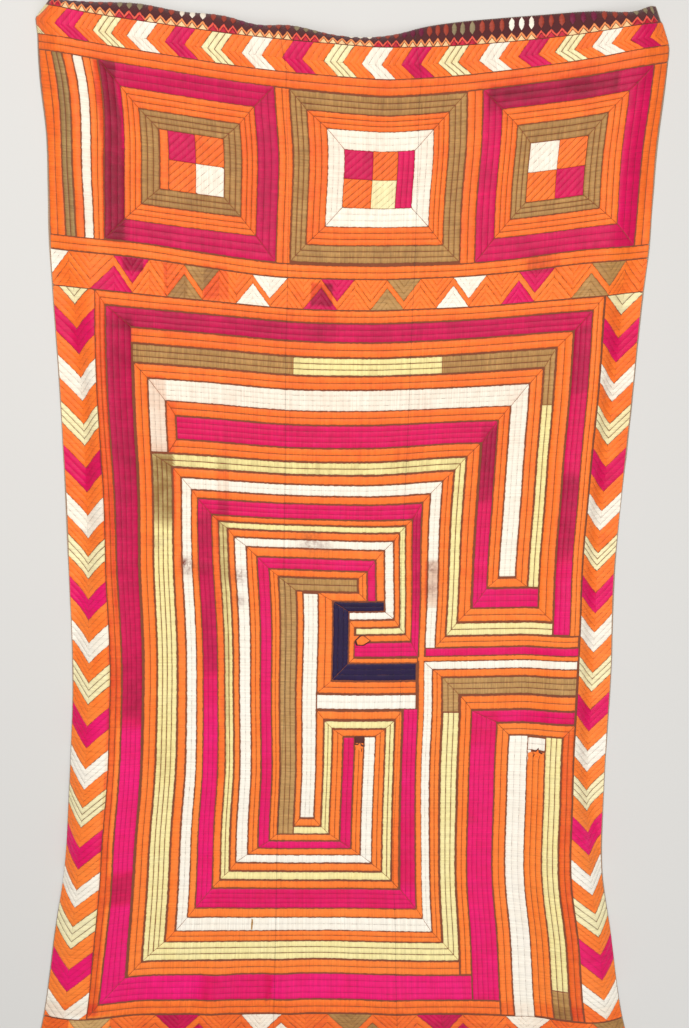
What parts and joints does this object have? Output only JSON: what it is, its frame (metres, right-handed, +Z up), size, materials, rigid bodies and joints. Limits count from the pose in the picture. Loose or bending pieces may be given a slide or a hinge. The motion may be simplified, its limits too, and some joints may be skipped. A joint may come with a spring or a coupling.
{
  "type": "phulkari shawl",
  "caption": "Long rectangular hand-woven cotton shawl lying face up, joined from lengthwise widths, with soft folds along both sides and dense banded silk embroidery.",
  "frame": {"origin": "centre of the bounding box, at the surface the shawl lies on", "axes": "+X across the shawl to its right, +Y along it towards the curled border, +Z up from the surface"},
  "size_m": [1.3405, 2.274, 0.0456],
  "materials": {
    "cloth_left": "matt hand-woven cotton, rust brown, covered on its face in silk stitching",
    "cloth_middle": "matt hand-woven cotton, rust brown, covered on its face in silk stitching",
    "cloth_right": "matt hand-woven cotton, rust brown, covered on its face in silk stitching"
  },
  "bodies": {
    "root": {"panel_left": "cloth_left", "panel_middle": "cloth_middle", "panel_right": "cloth_right"}
  },
  "joints": []
}
